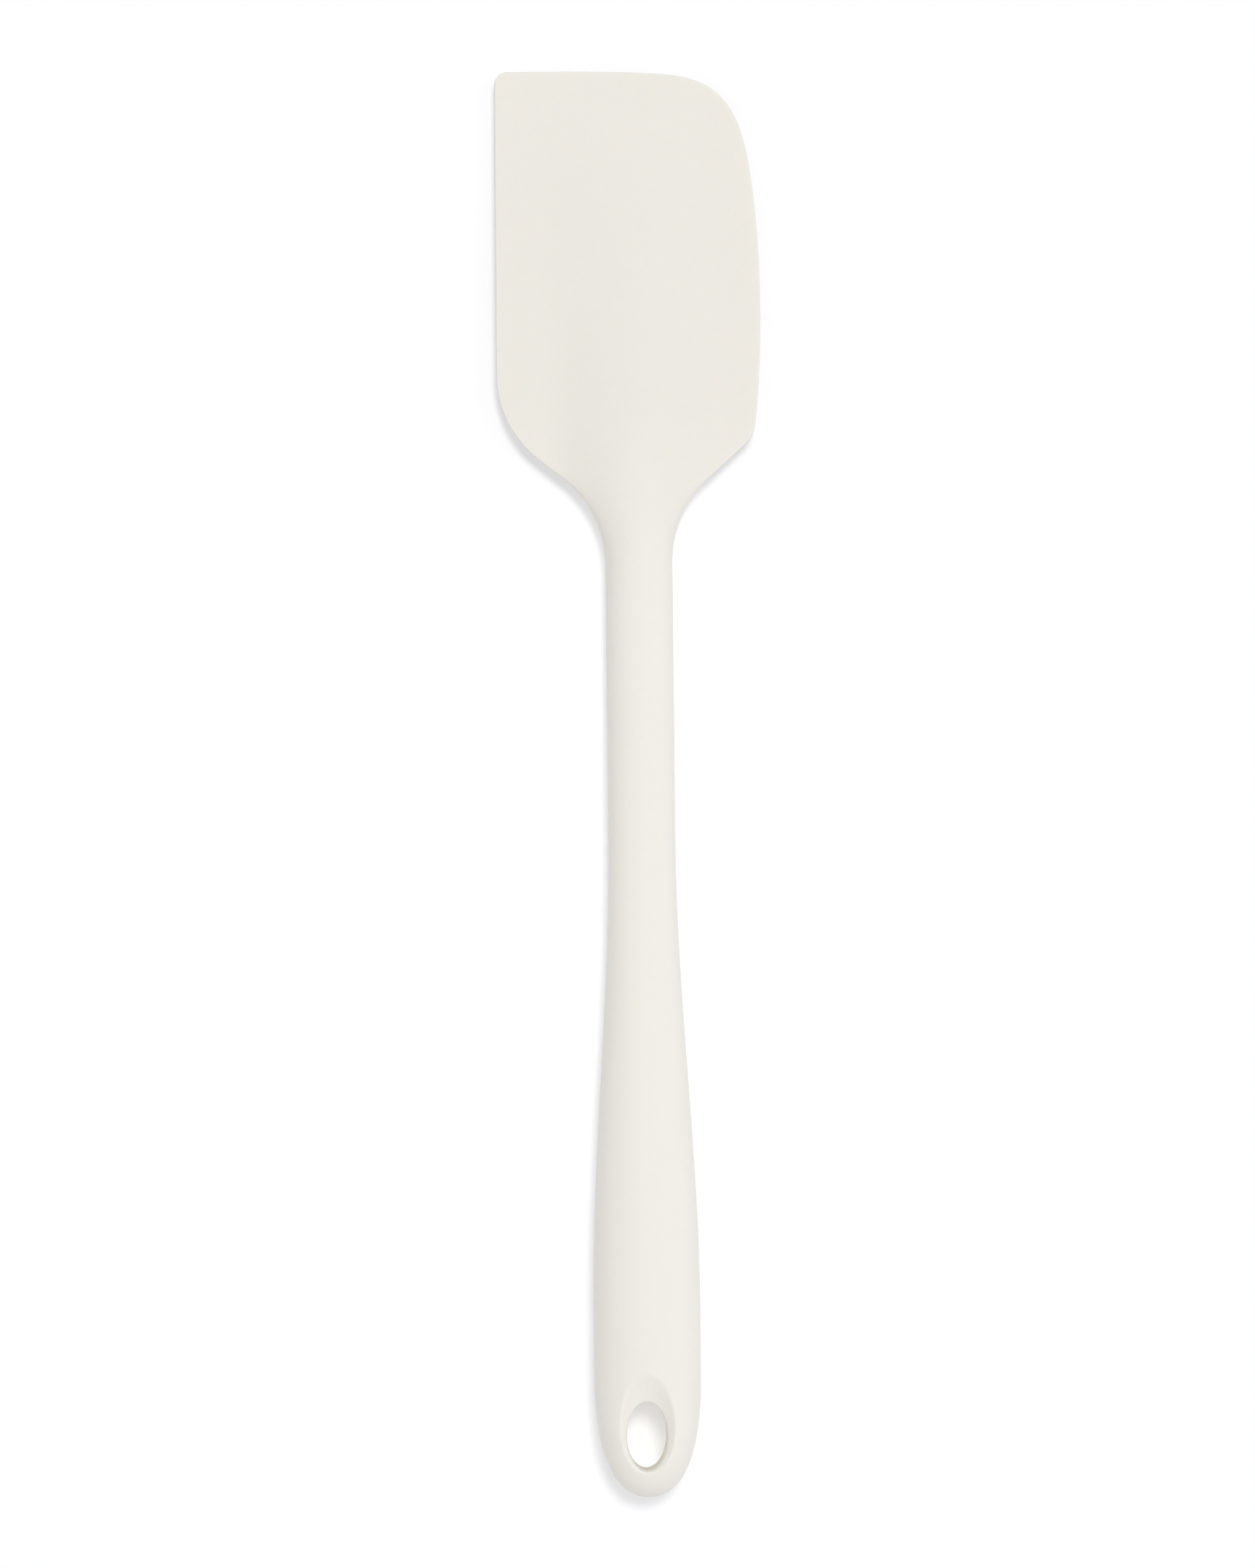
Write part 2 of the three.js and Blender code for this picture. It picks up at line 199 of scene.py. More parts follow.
# Lines that start below the first place end on the hole. Past the second they end on the axis
# abreast of their start, and near the tip all at one point.
HOLE_LINES_END, AXIS_LINES_START = 40.0, 110.0
# Powers that spread the ends of the lines along the hole's wall and along the axis beyond it
HOLE_SPREAD, AXIS_SPREAD = 0.75, 1.9


def smoothstep(value, low, high):
    """Share of the way from low to high, with a soft start and end."""
    share = np.clip((value - low) / (high - low), 0, 1)
    return share * share * (3 - 2 * share)


def inward(side, sign):
    """Unit normals that point from the outline into the sheet."""
    along = np.gradient(side, axis=0)
    normal = np.column_stack([-along[:, 1], along[:, 0]]) * sign
    normal[0] = (0, 1)
    normal[-1] = (0, -1)
    return normal / np.linalg.norm(normal, axis=1)[:, None]


middle = (left[:, 1] + right[:, 1]) / 2
last_hole_line = int(np.searchsorted(middle, HOLE_LINES_END))
strides = np.linalg.norm(np.diff(right, axis=0), axis=1)
travelled = np.concatenate([[0], np.cumsum(strides)])
turn = np.pi * (np.clip(travelled / travelled[last_hole_line], 0, 1) ** HOLE_SPREAD - 0.5)
on_hole = np.arange(len(right)) <= last_hole_line
turn_ways = np.column_stack([np.cos(turn), np.sin(turn)])
turn_ways[[0, last_hole_line], 0] = 0


def eye_ring(inset, sign):
    """Ends of one side's lines on the hole's wall, drawn in from its rim by an inset."""
    half_sizes = (sign * (HOLE_HALF_WIDTH - inset), HOLE_HALF_LENGTH - inset)
    return turn_ways * half_sizes + (HOLE_ACROSS, HOLE_CENTRE)


eye_top = HOLE_CENTRE + HOLE_HALF_LENGTH
last_middle = middle[last_hole_line]
past_hole = np.clip((middle - last_middle) / (AXIS_LINES_START - last_middle), 0, 1)
catch_up = eye_top + (AXIS_LINES_START - eye_top) * past_hole ** AXIS_SPREAD
axis_foot = np.where(middle < AXIS_LINES_START, catch_up, np.minimum(middle, TIP_CENTRE))
axis_feet = np.column_stack([HOLE_ACROSS * (1 - past_hole), axis_foot])
near_hole = 1 - smoothstep(middle, HOLE_LINES_END, AXIS_LINES_START)
in_blade = smoothstep(middle, NECK_FROM, PLATE_FROM)
print("lines that end on the hole:", last_hole_line + 1, "of", len(right), "on each side")

# %% The sheet's points, with what the thickness rule has to know about each
# How far along its line each ring lies: crowded at the rim, near the hole crowded at both ends,
# and on the blade crowded round the edge and even beyond it
ring = np.arange(1, RINGS) / (RINGS - 1)
round_steps = 1 - np.cos(ring * np.pi / 2)
hole_steps = (1 - np.cos(ring * np.pi)) / 2
edge_turn = 1 - np.cos(np.minimum(np.arange(1, RINGS) / EDGE_RINGS, 1) * np.pi / 2)
beyond_edge = np.clip((np.arange(1, RINGS) - EDGE_RINGS) / (RINGS - 1 - EDGE_RINGS), 0, 1)


def sheet_side(side, sign):
    """Rows of points for one side (bead, body, hole wall, band shoulder), with their set heights or nan."""
    normal = inward(side, sign)
    foot = np.where(on_hole[:, None], eye_ring(0, sign), axis_feet)
    body = side + normal * BEAD_PROUD
    bend = body + normal * EDGE_ROUND
    reach = EDGE_ROUND + np.linalg.norm(foot - bend, axis=1)
    edge = (EDGE_ROUND / reach)[:, None]
    blade_steps = edge * edge_turn + (1 - edge) * beyond_edge
    flat_or_round = round_steps + (blade_steps - round_steps) * in_blade[:, None]
    shares = flat_or_round + (hole_steps - flat_or_round) * near_hole[:, None]
    depth = shares * reach[:, None]
    first = body[:, None] + normal[:, None] * depth[..., None]
    onward = (depth - EDGE_ROUND) / (reach - EDGE_ROUND)[:, None]
    rest = bend[:, None] + (foot - bend)[:, None] * onward[..., None]
    inner = np.where((depth <= EDGE_ROUND)[..., None], first, rest)
    wall = [eye_ring(HOLE_WAIST * (1 - (z / HOLE_RIM) ** 2), sign) for z in WALL_HEIGHTS]
    groove = [eye_ring(-GROOVE_DEPTH, sign)] * 2
    bead = [side, side + normal * BEAD_ROUND_IN, body, body]
    rows = np.concatenate([np.stack(bead, axis=1), inner, np.stack(wall + groove, axis=1)], axis=1)
    fixed = np.full(rows.shape[:2], np.nan)
    fixed[:, :3] = 0, BEAD_ROUND_UP, BEAD_HALF
    fixed[:, -HOLE_ROWS:] = *WALL_HEIGHTS, BAND_HALF, 0
    return rows, fixed, body


right_rows, right_fixed, right_body = sheet_side(right, 1)
left_rows, left_fixed, left_body = sheet_side(left, -1)
left_rows[-1], left_body[-1] = right_rows[-1], right_body[-1]
print("points in one half of the sheet:", right_rows.shape[:2])

# %% Distances that the rule reads: to the rim, to the axis and to the hanging hole
# Below this centre the butt is measured along rays from it. The overlap covers the level rays.
BUTT_CENTRE, BUTT_OVERLAP = 18.0, 1.0
EYE_POINTS = 241
# Floors that keep a step of no length, and the two ends, from dividing by zero
LEAST_SQUARE, LEAST_HALF_WIDTH = 1e-12, 0.05
points = np.concatenate([right_rows.reshape(-1, 2), left_rows.reshape(-1, 2)])
fixed = np.concatenate([right_fixed.ravel(), left_fixed.ravel()])


def distance_to(line, places):
    """Least distance from each place to a line of points."""
    start, along = line[:-1], np.diff(line, axis=0)
    length2 = np.maximum((along ** 2).sum(1), LEAST_SQUARE)
    best = np.full(len(places), np.inf)
    for corner, run, square in zip(start, along, length2):
        off = places - corner
        share = np.clip(off @ run / square, 0, 1)
        best = np.minimum(best, ((off - share[:, None] * run) ** 2).sum(1))
    return np.sqrt(best)


rim = np.vstack([right_body, left_body[::-1]])
rim_depth = distance_to(rim, points)
half_width = np.maximum(np.where(
    points[:, 0] >= 0,
    np.interp(points[:, 1], right_body[:, 1], right_body[:, 0]),
    -np.interp(points[:, 1], left_body[:, 1], left_body[:, 0]),
), LEAST_HALF_WIDTH)
out = np.hypot(points[:, 0], points[:, 1] - BUTT_CENTRE)
butt_line = right_body[right_body[:, 1] <= BUTT_CENTRE + BUTT_OVERLAP]
butt_turn = np.arctan2(butt_line[:, 1] - BUTT_CENTRE, butt_line[:, 0])
butt_reach = np.interp(
    np.arctan2(points[:, 1] - BUTT_CENTRE, np.abs(points[:, 0])),
    butt_turn, np.hypot(butt_line[:, 0], butt_line[:, 1] - BUTT_CENTRE),
)
rim_share = 1 - np.where(points[:, 1] >= BUTT_CENTRE, np.abs(points[:, 0]) / half_width, out / butt_reach)
eye_turn = np.linspace(0, math.tau, EYE_POINTS)
eye_line = np.column_stack([np.cos(eye_turn) * HOLE_HALF_WIDTH, np.sin(eye_turn) * HOLE_HALF_LENGTH])
hole_gap = distance_to(eye_line + (HOLE_ACROSS, HOLE_CENTRE), points)
print("deepest point of the sheet: %.1f mm from the rim" % rim_depth.max())


# %% The sheet as a mesh, with those distances as attributes
def sheet_faces(offset, flip):
    """Quads of one side; lines that end on the axis leave out the rows of the hole's wall."""
    stations, rings = right_rows.shape[:2]
    faces = []
    for i in range(stations - 1):
        used = rings if i < last_hole_line else rings - HOLE_ROWS
        for j in range(used - 1):
            a, b = offset + i * rings + j, offset + (i + 1) * rings + j
            quad = (a, b, b + 1, a + 1)
            faces.append(quad[::-1] if flip else quad)
    return faces


sheet = bpy.data.meshes.new("plan_sheet")
sheet.from_pydata(
    np.column_stack([points, np.zeros(len(points))]) * MM, [],
    sheet_faces(0, False) + sheet_faces(len(points) // 2, True),
)
sheet_facts = {
    "rim_depth": rim_depth * MM,
    "rim_share": np.clip(rim_share, 0, 1),
    "hole_gap": hole_gap * MM,
    "set_height": np.nan_to_num(fixed) * MM,
    "is_set": np.isfinite(fixed).astype(float),
}
for name, values in sheet_facts.items():
    sheet.attributes.new(name, "FLOAT", "POINT").data.foreach_set("value", values.astype(np.float32))
skin_sheet = bpy.data.objects.new("skin_sheet", sheet)
bpy.context.scene.collection.objects.link(skin_sheet)
print("plan sheet:", len(sheet.vertices), "points,", len(sheet.polygons), "faces")

# %% [markdown]
# ## The thickness rule
# How thick the tool is at a point follows from where the point lies:
# an oval section along handle and shaft, and over the blade a thin plate with a low ridge that fades out
# before the edges. Around the hanging hole a dish sinks into both faces.
# Between the dishes the hole's wall is almost straight, a tenth of a millimetre narrower halfway through.
# Modelling this by hand would take many edge loops. A Geometry Nodes tree can say it as a rule instead,
# with every size as a named input: it lifts the flat sheet to half the thickness, mirrors it underneath
# and lays the tool down in its rest pose.


# %% One function that adds a node
def add(tree, kind, links=None, **settings):
    """Adds a node; links gives each input a value, a socket or a node whose first output is used."""
    node = tree.nodes.new(kind)
    for name, value in settings.items():
        setattr(node, name, value)
    for socket, value in (links or {}).items():
        if isinstance(value, bpy.types.Node):
            value = value.outputs[0]
        if isinstance(value, bpy.types.NodeSocket):
            tree.links.new(value, node.inputs[socket])
        else:
            node.inputs[socket].default_value = value
    return node


# %% Inputs of the rule
rule = bpy.data.node_groups.new("moulded_skin_rule", "GeometryNodeTree")
HANDLE_HALF_THICK, SHAFT_HALF_THICK = 17.0 / 2, 11.0 / 2
# The rod's place along the tool is known, so its box in the frame shows where the tool lies.
ROD_START, ROD_RADIUS = 30.0 * MM, 2.5 * MM
rod_low, rod_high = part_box("steel_rod")
rest_tilt = math.atan2(HANDLE_HALF_THICK - SHAFT_HALF_THICK, NECK_FROM - HANDLE_FULL)
rest_shift = (
    (rod_low.x + rod_high.x) / 2,
    rod_low.y - ROD_START * math.cos(rest_tilt) + ROD_RADIUS * math.sin(rest_tilt),
    rod_high.z + ROD_START * math.sin(rest_tilt) - ROD_RADIUS * math.cos(rest_tilt),
)
sizes = {
    "Handle half thickness": HANDLE_HALF_THICK * MM,
    "Shaft half thickness": SHAFT_HALF_THICK * MM,
    "Handle taper from": HANDLE_FULL * MM,
    "Handle taper to": HANDLE_END * MM,
    "Neck from": NECK_FROM * MM,
    "Section fullness": 2.5,
    "Blade from": (LENGTH - 66) * MM,
    "Plate from": PLATE_FROM * MM,
    "Blade root half thickness": 2.5 * MM,
    "Blade edge half thickness": 1.0 * MM,
    "Blade edge rounding": EDGE_ROUND * MM,
    "Ridge end": (LENGTH - 8) * MM,
    "Ridge half width": 18 * MM,
    "Ridge fade": 6 * MM,
    "Hole across": HOLE_ACROSS * MM,
    "Hole centre": HOLE_CENTRE * MM,
    "Hole half width": HOLE_HALF_WIDTH * MM,
    "Hole half length": HOLE_HALF_LENGTH * MM,
    "Hole rim height": HOLE_RIM * MM,
    "Dish run across": 1.37,
    "Dish run along": 2.7,
    "Rim rounding": 0.3 * MM,
    "Dish rounding": 0.12 * MM,
    "Bead half height": BEAD_HALF * MM,
}
kinds = {
    "Sheet": "NodeSocketGeometry",
    **{name: "NodeSocketFloat" for name in sizes},
    "Rest turn": "NodeSocketRotation",
    "Rest shift": "NodeSocketVector",
    "Finish": "NodeSocketMaterial",
}
socket_id = {}
for name, kind in kinds.items():
    socket = rule.interface.new_socket(name, in_out="INPUT", socket_type=kind)
    socket_id[name] = socket.identifier
rule.interface.new_socket("Skin", in_out="OUTPUT", socket_type="NodeSocketGeometry")
given = add(rule, "NodeGroupInput").outputs
print("inputs of the rule:", len(socket_id))

# %% Handle, shaft and neck: an oval section on a spine
MATH, RANGE = "ShaderNodeMath", "ShaderNodeMapRange"
place = add(rule, "ShaderNodeSeparateXYZ", {0: add(rule, "GeometryNodeInputPosition")})
across, along = place.outputs["X"], place.outputs["Y"]
read = {}
for name in sheet_facts:
    reader = add(rule, "GeometryNodeInputNamedAttribute", {"Name": name}, data_type="FLOAT")
    read[name] = reader.outputs["Attribute"]
handle_spine = add(rule, RANGE, {
    "Value": along, "From Min": given["Handle taper from"], "From Max": given["Handle taper to"],
    "To Min": given["Handle half thickness"], "To Max": given["Shaft half thickness"],
}, interpolation_type="SMOOTHSTEP")
blade_spine = add(rule, RANGE, {
    "Value": along, "From Min": given["Blade from"], "From Max": given["Ridge end"],
    "To Min": given["Blade root half thickness"], "To Max": given["Blade edge half thickness"],
})
blade_share = add(rule, RANGE, {
    "Value": along, "From Min": given["Neck from"], "From Max": given["Blade from"],
}, interpolation_type="SMOOTHSTEP")
spine = add(rule, "ShaderNodeMix", {
    "Factor": blade_share, "A": handle_spine, "B": blade_spine,
}, data_type="FLOAT")
from_axis = add(rule, MATH, {0: 1.0, 1: read["rim_share"]}, operation="SUBTRACT")
full = given["Section fullness"]
oval_across = add(rule, MATH, {0: from_axis, 1: full}, operation="POWER")
oval_left = add(rule, MATH, {0: 1.0, 1: oval_across}, operation="SUBTRACT")
oval_root = add(rule, MATH, {0: 1.0, 1: full}, operation="DIVIDE")
oval = add(rule, MATH, {0: oval_left, 1: oval_root}, operation="POWER")
shaft_height = add(rule, MATH, {0: spine, 1: oval}, operation="MULTIPLY")
print("nodes so far:", len(rule.nodes))

# %% Blade: a thin plate with a rounded edge and a low ridge
edge_half = given["Blade edge half thickness"]


def quarter_round(depth, radius):
    """Rise from 0 at an edge to 1 at the radius from it, along a quarter circle."""
    share = add(rule, MATH, {0: depth, 1: radius}, operation="DIVIDE", use_clamp=True)
    short = add(rule, MATH, {0: 1.0, 1: share}, operation="SUBTRACT")
    square = add(rule, MATH, {0: short, 1: short}, operation="MULTIPLY")
    rise = add(rule, MATH, {0: 1.0, 1: square}, operation="SUBTRACT")
    return add(rule, MATH, {0: rise}, operation="SQRT")


def rounded_off(height, depth, radius):
    """Height with its edge rounded by the radius."""
    fall = add(rule, MATH, {0: quarter_round(depth, radius), 1: 1.0}, operation="SUBTRACT")
    return add(rule, MATH, {0: fall, 1: radius, 2: height}, operation="MULTIPLY_ADD")


plate = rounded_off(edge_half, read["rim_depth"], given["Blade edge rounding"])

ridge_off = add(rule, MATH, {0: across, 1: given["Ridge half width"]}, operation="DIVIDE")
ridge_square = add(rule, MATH, {0: ridge_off, 1: ridge_off}, operation="MULTIPLY")
ridge_left = add(rule, MATH, {0: 1.0, 1: ridge_square}, operation="SUBTRACT", use_clamp=True)
ridge_shape = add(rule, MATH, {0: ridge_left, 1: ridge_left}, operation="MULTIPLY")
ridge_fade = quarter_round(read["rim_depth"], given["Ridge fade"])
ridge_rise = add(rule, MATH, {0: spine, 1: edge_half}, operation="SUBTRACT")
ridge_full = add(rule, MATH, {0: ridge_rise, 1: ridge_shape}, operation="MULTIPLY")
blade_height = add(rule, MATH, {0: ridge_full, 1: ridge_fade, 2: plate}, operation="MULTIPLY_ADD")
plate_share = add(rule, RANGE, {
    "Value": along, "From Min": given["Neck from"], "From Max": given["Plate from"],
}, interpolation_type="SMOOTHSTEP")
body_height = add(rule, "ShaderNodeMix", {
    "Factor": plate_share, "A": shaft_height, "B": blade_height,
}, data_type="FLOAT")
print("nodes so far:", len(rule.nodes))

# %% Hanging hole: a rounded rim that opens into a dish, blended into the body
hole_along = add(rule, MATH, {0: along, 1: given["Hole centre"]}, operation="SUBTRACT")
hole_across = add(rule, MATH, {0: across, 1: given["Hole across"]}, operation="SUBTRACT")
dish_x = add(rule, MATH, {0: hole_across, 1: given["Hole half width"]}, operation="DIVIDE")
dish_y = add(rule, MATH, {0: hole_along, 1: given["Hole half length"]}, operation="DIVIDE")
dish_x2 = add(rule, MATH, {0: dish_x, 1: dish_x}, operation="MULTIPLY")
dish_out2 = add(rule, MATH, {0: dish_y, 1: dish_y, 2: dish_x2}, operation="MULTIPLY_ADD")
dish_out = add(rule, MATH, {0: dish_out2}, operation="SQRT")
dish_sideways = add(rule, MATH, {0: dish_x2, 1: dish_out2}, operation="DIVIDE")
flare = add(rule, "ShaderNodeMix", {
    "Factor": dish_sideways,
    "A": add(rule, MATH, {0: given["Dish run along"], 1: given["Hole half length"]}, operation="DIVIDE"),
    "B": add(rule, MATH, {0: given["Dish run across"], 1: given["Hole half width"]}, operation="DIVIDE"),
}, data_type="FLOAT")
dish_run = add(rule, MATH, {0: dish_out, 1: 1.0}, operation="SUBTRACT")
dish_rise = add(rule, MATH, {0: dish_run, 1: flare}, operation="DIVIDE")
dish_height = add(rule, MATH, {0: given["Hole rim height"], 1: dish_rise}, operation="ADD")
lower = add(rule, MATH, {
    0: body_height, 1: dish_height, 2: given["Dish rounding"],
}, operation="SMOOTH_MIN")
mouth = rounded_off(lower, read["hole_gap"], given["Rim rounding"])
ruled_height = add(rule, MATH, {0: mouth, 1: given["Bead half height"]}, operation="MAXIMUM")
height = add(rule, "ShaderNodeMix", {
    "Factor": read["is_set"], "A": ruled_height, "B": read["set_height"],
}, data_type="FLOAT")
print("nodes so far:", len(rule.nodes))

# %% Lift the sheet, mirror it, close the seams and lay the tool down
WELD = 0.002 * MM
lifted = add(rule, "GeometryNodeSetPosition", {
    "Geometry": given["Sheet"],
    "Position": add(rule, "ShaderNodeCombineXYZ", {"X": across, "Y": along, "Z": height}),
})
under = add(rule, "GeometryNodeTransform", {"Geometry": lifted, "Scale": (1, 1, -1)})
under_out = add(rule, "GeometryNodeFlipFaces", {"Mesh": under})
both = add(rule, "GeometryNodeJoinGeometry", {"Geometry": lifted})
# A second link into the same socket adds the lower half.
rule.links.new(under_out.outputs[0], both.inputs[0])
closed = add(rule, "GeometryNodeMergeByDistance", {"Geometry": both, "Distance": WELD})
at_rest = add(rule, "GeometryNodeTransform", {
    "Geometry": closed, "Rotation": given["Rest turn"], "Translation": given["Rest shift"],
})
smooth = add(rule, "GeometryNodeSetShadeSmooth", {"Geometry": at_rest})
real = add(rule, "GeometryNodeRealizeInstances", {"Geometry": smooth})
finished = add(rule, "GeometryNodeSetMaterial", {"Geometry": real, "Material": given["Finish"]})
add(rule, "NodeGroupOutput", {"Skin": finished})
print("nodes in the rule:", len(rule.nodes))

# %% [markdown]
# ## Moulded silicone
# Platinum-cured silicone, pigmented ivory, pressed in a steel mould with its cavity blasted to a fine matt.
# To the eye that is an even, slightly warm white with a soft satin sheen and no sharp reflections.
# The grain of the blasting is about 0.1 mm, too fine for the picture, so it is drawn at 0.5 mm
# and a few hundredths of a millimetre deep. The pigment clouds faintly, over about 30 mm,
# and the blade is a shade greyer than the handle, with a gradual change across the neck.


# %% Colours are written as sRGB hex values
def srgb(code):
    """Linear colour, with alpha 1, from a hex code."""
    parts = [int(code[k:k + 2], 16) / 255 for k in (1, 3, 5)]
    return tuple(c / 12.92 if c <= 0.04045 else ((c + 0.055) / 1.055) ** 2.4 for c in parts) + (1.0,)


def new_material(name):
    """Material with an empty node tree, and that tree."""
    material = bpy.data.materials.new(name)
    material.use_nodes = True
    material.node_tree.nodes.clear()
    return material, material.node_tree


print("mid grey in linear light: %.3f" % srgb("#808080")[0])

# %% Silicone
# Places of a Mix node's colour sockets, and the range that most of a noise lies in
COLOUR_A, COLOUR_B, COLOUR = 6, 7, 2
NOISE, NOISE_LOW, NOISE_HIGH = "ShaderNodeTexNoise", 0.3, 0.7
GRAIN, CLOUD = 0.5 * MM, 30 * MM
TONE_FROM, TONE_TO = 30 * MM, 75 * MM
silicone, tree = new_material("moulded_silicone_ivory")
spot = add(tree, "ShaderNodeTexCoord").outputs["Object"]
cloud = add(tree, NOISE, {"Vector": spot, "Scale": 1 / CLOUD, "Detail": 2.0}).outputs["Fac"]
along_tool = add(tree, "ShaderNodeSeparateXYZ", {0: spot}).outputs["Y"]
on_blade = add(tree, RANGE, {
    "Value": along_tool, "From Min": TONE_FROM, "From Max": TONE_TO,
}, interpolation_type="SMOOTHSTEP")
clear_tone = add(tree, "ShaderNodeMix", {
    "Factor": on_blade, COLOUR_A: srgb("#F4F1EB"), COLOUR_B: srgb("#EFECE5"),
}, data_type="RGBA").outputs[COLOUR]
cloudy_tone = add(tree, "ShaderNodeMix", {
    "Factor": on_blade, COLOUR_A: srgb("#F2EFE8"), COLOUR_B: srgb("#EDEAE2"),
}, data_type="RGBA").outputs[COLOUR]
tone = add(tree, "ShaderNodeMix", {
    "Factor": cloud, COLOUR_A: cloudy_tone, COLOUR_B: clear_tone,
}, data_type="RGBA").outputs[COLOUR]
grain = add(tree, NOISE, {"Vector": spot, "Scale": 1 / GRAIN, "Detail": 1.0}).outputs["Fac"]
grain_bump = add(tree, "ShaderNodeBump", {"Height": grain, "Strength": 0.8, "Distance": 0.03 * MM})
gloss = add(tree, RANGE, {
    "Value": cloud, "From Min": NOISE_LOW, "From Max": NOISE_HIGH, "To Min": 0.46, "To Max": 0.54,
})
surface = add(tree, "ShaderNodeBsdfPrincipled", {
    "Base Color": tone, "Roughness": gloss, "IOR": 1.41, "Normal": grain_bump,
    "Subsurface Weight": 0.4, "Subsurface Radius": (1.0, 0.8, 0.6), "Subsurface Scale": 1.5 * MM,
})
add(tree, "ShaderNodeOutputMaterial", {"Surface": surface})
print("made", silicone.name)

# %% The skin as a plain mesh
rule_modifier = skin_sheet.modifiers.new("moulded_skin_rule", "NODES")
rule_modifier.node_group = rule
for name, value in sizes.items():
    rule_modifier[socket_id[name]] = value
rule_modifier[socket_id["Rest turn"]] = (-rest_tilt, 0.0, 0.0)
rule_modifier[socket_id["Rest shift"]] = rest_shift
rule_modifier[socket_id["Finish"]] = silicone

evaluated = skin_sheet.evaluated_get(bpy.context.evaluated_depsgraph_get())
skin_mesh = bpy.data.meshes.new_from_object(evaluated)
skin_mesh.name = "silicone_skin_visual"
for name in sheet_facts:
    skin_mesh.attributes.remove(skin_mesh.attributes[name])
bpy.data.objects.remove(skin_sheet)
skin = bpy.data.objects.new("silicone_skin_visual", skin_mesh)
bpy.context.scene.collection.objects.link(skin)
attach(skin, "root")
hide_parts("silicone_skin")
print("skin:", len(skin_mesh.vertices), "points,", len(skin_mesh.polygons), "faces")

# %% [markdown]
# ## Nylon core
# The core is injection-moulded polyamide with glass fibre, left in its natural cream.
# Only a band of it shows, halfway through the hanging hole, where it lay against the mould's pin.
# Its surface is dull, with pale fibres a few tenths of a millimetre long just under the skin.
# The CAD node has the right shape, so it stays and only gets this finish.

# %% Nylon
FIBRE, FIBRE_SQUEEZE = 0.6 * MM, 0.35
nylon, tree = new_material("glass_filled_nylon_natural")
spot = add(tree, "ShaderNodeTexCoord").outputs["Object"]
stretch = add(tree, "ShaderNodeMapping", {"Vector": spot, "Scale": (1.0, FIBRE_SQUEEZE, 1.0)})
fibre = add(tree, NOISE, {"Vector": stretch, "Scale": 1 / FIBRE, "Detail": 2.0}).outputs["Fac"]
tone = add(tree, "ShaderNodeMix", {
    "Factor": fibre, COLOUR_A: srgb("#D2CBB6"), COLOUR_B: srgb("#DDD8C8"),
}, data_type="RGBA").outputs[COLOUR]
gloss = add(tree, RANGE, {
    "Value": fibre, "From Min": NOISE_LOW, "From Max": NOISE_HIGH, "To Min": 0.5, "To Max": 0.62,
})
bump = add(tree, "ShaderNodeBump", {"Height": fibre, "Strength": 0.3, "Distance": 0.02 * MM})
surface = add(tree, "ShaderNodeBsdfPrincipled", {
    "Base Color": tone, "Roughness": gloss, "IOR": 1.53, "Normal": bump,
})
add(tree, "ShaderNodeOutputMaterial", {"Surface": surface})
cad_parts["nylon_core"].data.materials.clear()
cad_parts["nylon_core"].data.materials.append(nylon)
print("made", nylon.name)

# %% [markdown]
# ## Steel rod
# A length of cold-drawn stainless rod stiffens handle and shaft. It is out of sight inside the core.
# Drawing leaves fine straight lines along the rod, about 0.05 mm apart, drawn here at 0.3 mm.

# %% Drawn stainless steel
DRAW_LINE, DRAW_SQUEEZE = 0.3 * MM, 0.01
steel, tree = new_material("drawn_stainless_steel")
spot = add(tree, "ShaderNodeTexCoord").outputs["Object"]
stretch = add(tree, "ShaderNodeMapping", {"Vector": spot, "Scale": (1.0, DRAW_SQUEEZE, 1.0)})
lines = add(tree, NOISE, {"Vector": stretch, "Scale": 1 / DRAW_LINE, "Detail": 2.0}).outputs["Fac"]
tone = add(tree, "ShaderNodeMix", {
    "Factor": lines, COLOUR_A: srgb("#BABCBF"), COLOUR_B: srgb("#CDCFD1"),
}, data_type="RGBA").outputs[COLOUR]
gloss = add(tree, RANGE, {
    "Value": lines, "From Min": NOISE_LOW, "From Max": NOISE_HIGH, "To Min": 0.28, "To Max": 0.42,
})
bump = add(tree, "ShaderNodeBump", {"Height": lines, "Strength": 0.3, "Distance": 0.02 * MM})
surface = add(tree, "ShaderNodeBsdfPrincipled", {
    "Base Color": tone, "Metallic": 1.0, "Roughness": gloss, "Normal": bump,
})
add(tree, "ShaderNodeOutputMaterial", {"Surface": surface})
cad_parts["steel_rod"].data.materials.clear()
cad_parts["steel_rod"].data.materials.append(steel)
print("made", steel.name)

# %% [markdown]
# ## White table, light and camera
# The tool lies on plain white, under light so soft that only a narrow shadow is left below and beside it.
# The table is a diffuse plane. The camera, and mirror rays, see it lifted towards white,
# so that it keeps the shadow close to the tool and is white everywhere else.
# The lift is slightly cool, because light from the warm tool tints the shadow and the real one is grey.
# A dim even sky and one soft lamp overhead, leaning to the tip and a little to the right, cast that shadow.
# Four fill lamps without shadows stand in for the white walls of a light tent.
# All lamps are suns, because their light doesn't fall off across the table.

# %% Table
TABLE_HALF = 3.0
corners = [(x * TABLE_HALF, y * TABLE_HALF, 0) for x, y in ((-1, -1), (1, -1), (1, 1), (-1, 1))]
table_mesh = bpy.data.meshes.new("white_table")
table_mesh.from_pydata(corners, [], [(0, 1, 2, 3)])
table = bpy.data.objects.new("white_table", table_mesh)
bpy.context.scene.collection.objects.link(table)


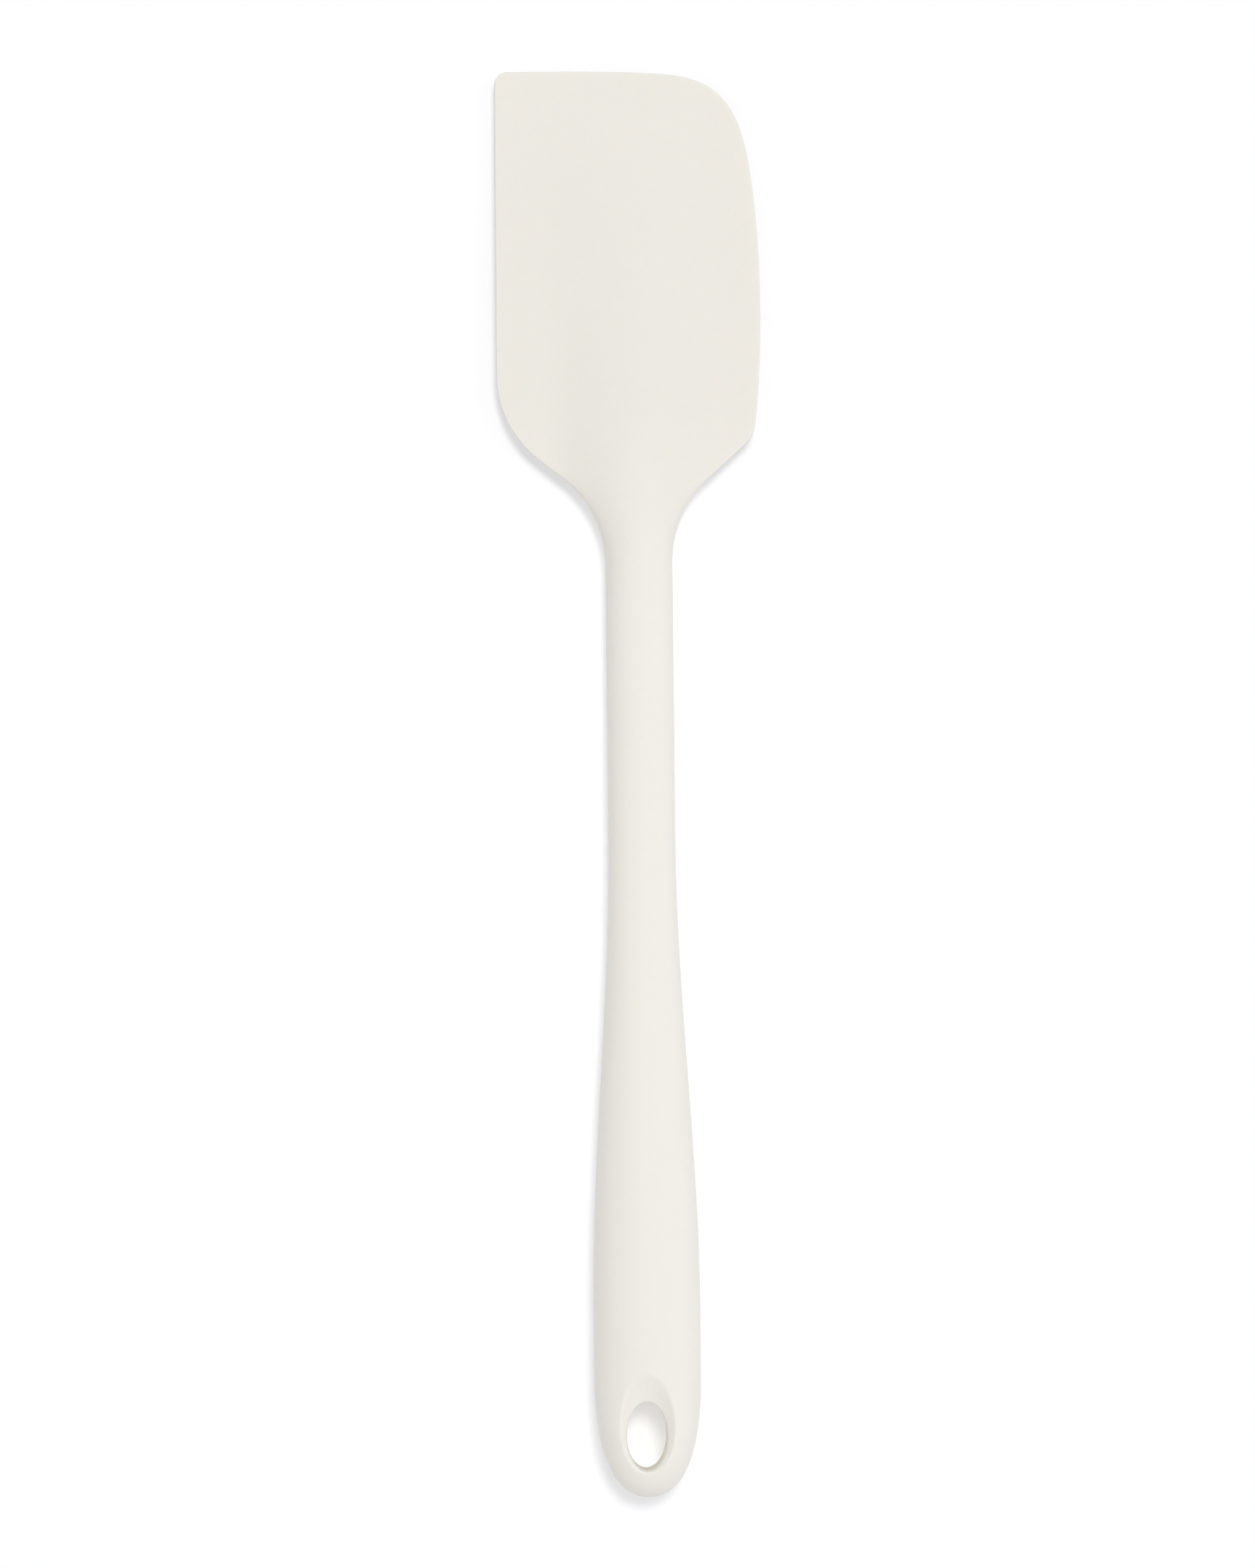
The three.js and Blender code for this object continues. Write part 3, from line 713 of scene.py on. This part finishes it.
def seen_directly(tree):
    """1 for rays that show the background: from the camera, a mirror or glass."""
    ray = add(tree, "ShaderNodeLightPath").outputs
    mirrored = add(tree, MATH, {
        0: ray["Is Glossy Ray"], 1: ray["Is Transmission Ray"],
    }, operation="MAXIMUM")
    return add(tree, MATH, {0: ray["Is Camera Ray"], 1: mirrored}, operation="MAXIMUM")


PAPER, SEEN_PAPER = (0.9, 0.9, 0.9, 1.0), (0.95, 0.95, 0.95, 1.0)
LIFT, LIFT_COLOUR = 0.13, (0.82, 0.85, 1.0, 1.0)
white, tree = new_material("white_paper_sweep")
paper = add(tree, "ShaderNodeBsdfDiffuse", {"Color": PAPER})
lifted_paper = add(tree, "ShaderNodeAddShader", {
    0: add(tree, "ShaderNodeBsdfDiffuse", {"Color": SEEN_PAPER}),
    1: add(tree, "ShaderNodeEmission", {"Color": LIFT_COLOUR, "Strength": LIFT}),
})
add(tree, "ShaderNodeOutputMaterial", {
    "Surface": add(tree, "ShaderNodeMixShader", {0: seen_directly(tree), 1: paper, 2: lifted_paper}),
})
table_mesh.materials.append(white)
print("table:", table.dimensions[:])

# %% Light
SKY = 0.22
world = bpy.data.worlds.new("soft_white_room")
bpy.context.scene.world = world
world.use_nodes = True
tree = world.node_tree
tree.nodes.clear()
sky = add(tree, RANGE, {"Value": seen_directly(tree), "To Min": SKY, "To Max": 1.0})
add(tree, "ShaderNodeOutputWorld", {
    "Surface": add(tree, "ShaderNodeBackground", {"Color": (1.0, 1.0, 1.0, 1.0), "Strength": sky}),
})
for name, toward, level, spread, shadow in (
    ("overhead_lamp", (0.08, 0.27, 0.96), 0.30, 13, True),
    ("fill_right", (0.8, 0.0, 0.6), 0.29, 60, False),
    ("fill_left", (-0.8, 0.0, 0.6), 0.18, 60, False),
    ("fill_front", (0.0, -0.8, 0.6), 0.16, 60, False),
    ("fill_back", (0.0, 0.8, 0.6), 0.09, 60, False),
):
    lamp = bpy.data.lights.new(name, "SUN")
    lamp.energy = level * math.pi
    lamp.angle = math.radians(spread)
    lamp.use_shadow = shadow
    lamp_object = bpy.data.objects.new(name, lamp)
    lamp_object.rotation_euler = Vector(toward).to_track_quat("Z", "Y").to_euler()
    bpy.context.scene.collection.objects.link(lamp_object)
    print("%s: %.2f of plain white" % (name, level))

# %% Camera above, leaning and turned a little as in the photograph
# Metres above the table, and metres of table that the picture's height shows
CAMERA_HEIGHT = 1.5
FRAME_HEIGHT = 0.3091
FRAME_MIDDLE = Vector((-0.97 * MM, 0.12 * MM, 0.0))
CAMERA_LEAN, CAMERA_TURN = math.radians(1.2), math.radians(-0.593)
SENSOR_HEIGHT = 36.0
camera = bpy.data.cameras.new("camera_above")
camera.sensor_fit = "VERTICAL"
camera.sensor_height = SENSOR_HEIGHT
camera.lens = SENSOR_HEIGHT * CAMERA_HEIGHT / FRAME_HEIGHT
camera_object = bpy.data.objects.new("camera_above", camera)
camera_away = Vector((-CAMERA_HEIGHT * math.tan(CAMERA_LEAN), 0.0, CAMERA_HEIGHT))
camera_object.location = FRAME_MIDDLE + camera_away
camera_object.rotation_euler = (0, -CAMERA_LEAN, CAMERA_TURN)
bpy.context.scene.collection.objects.link(camera_object)
bpy.context.scene.camera = camera_object
bpy.context.scene.view_settings.view_transform = "Standard"
print("camera lens: %.1f mm" % camera.lens)
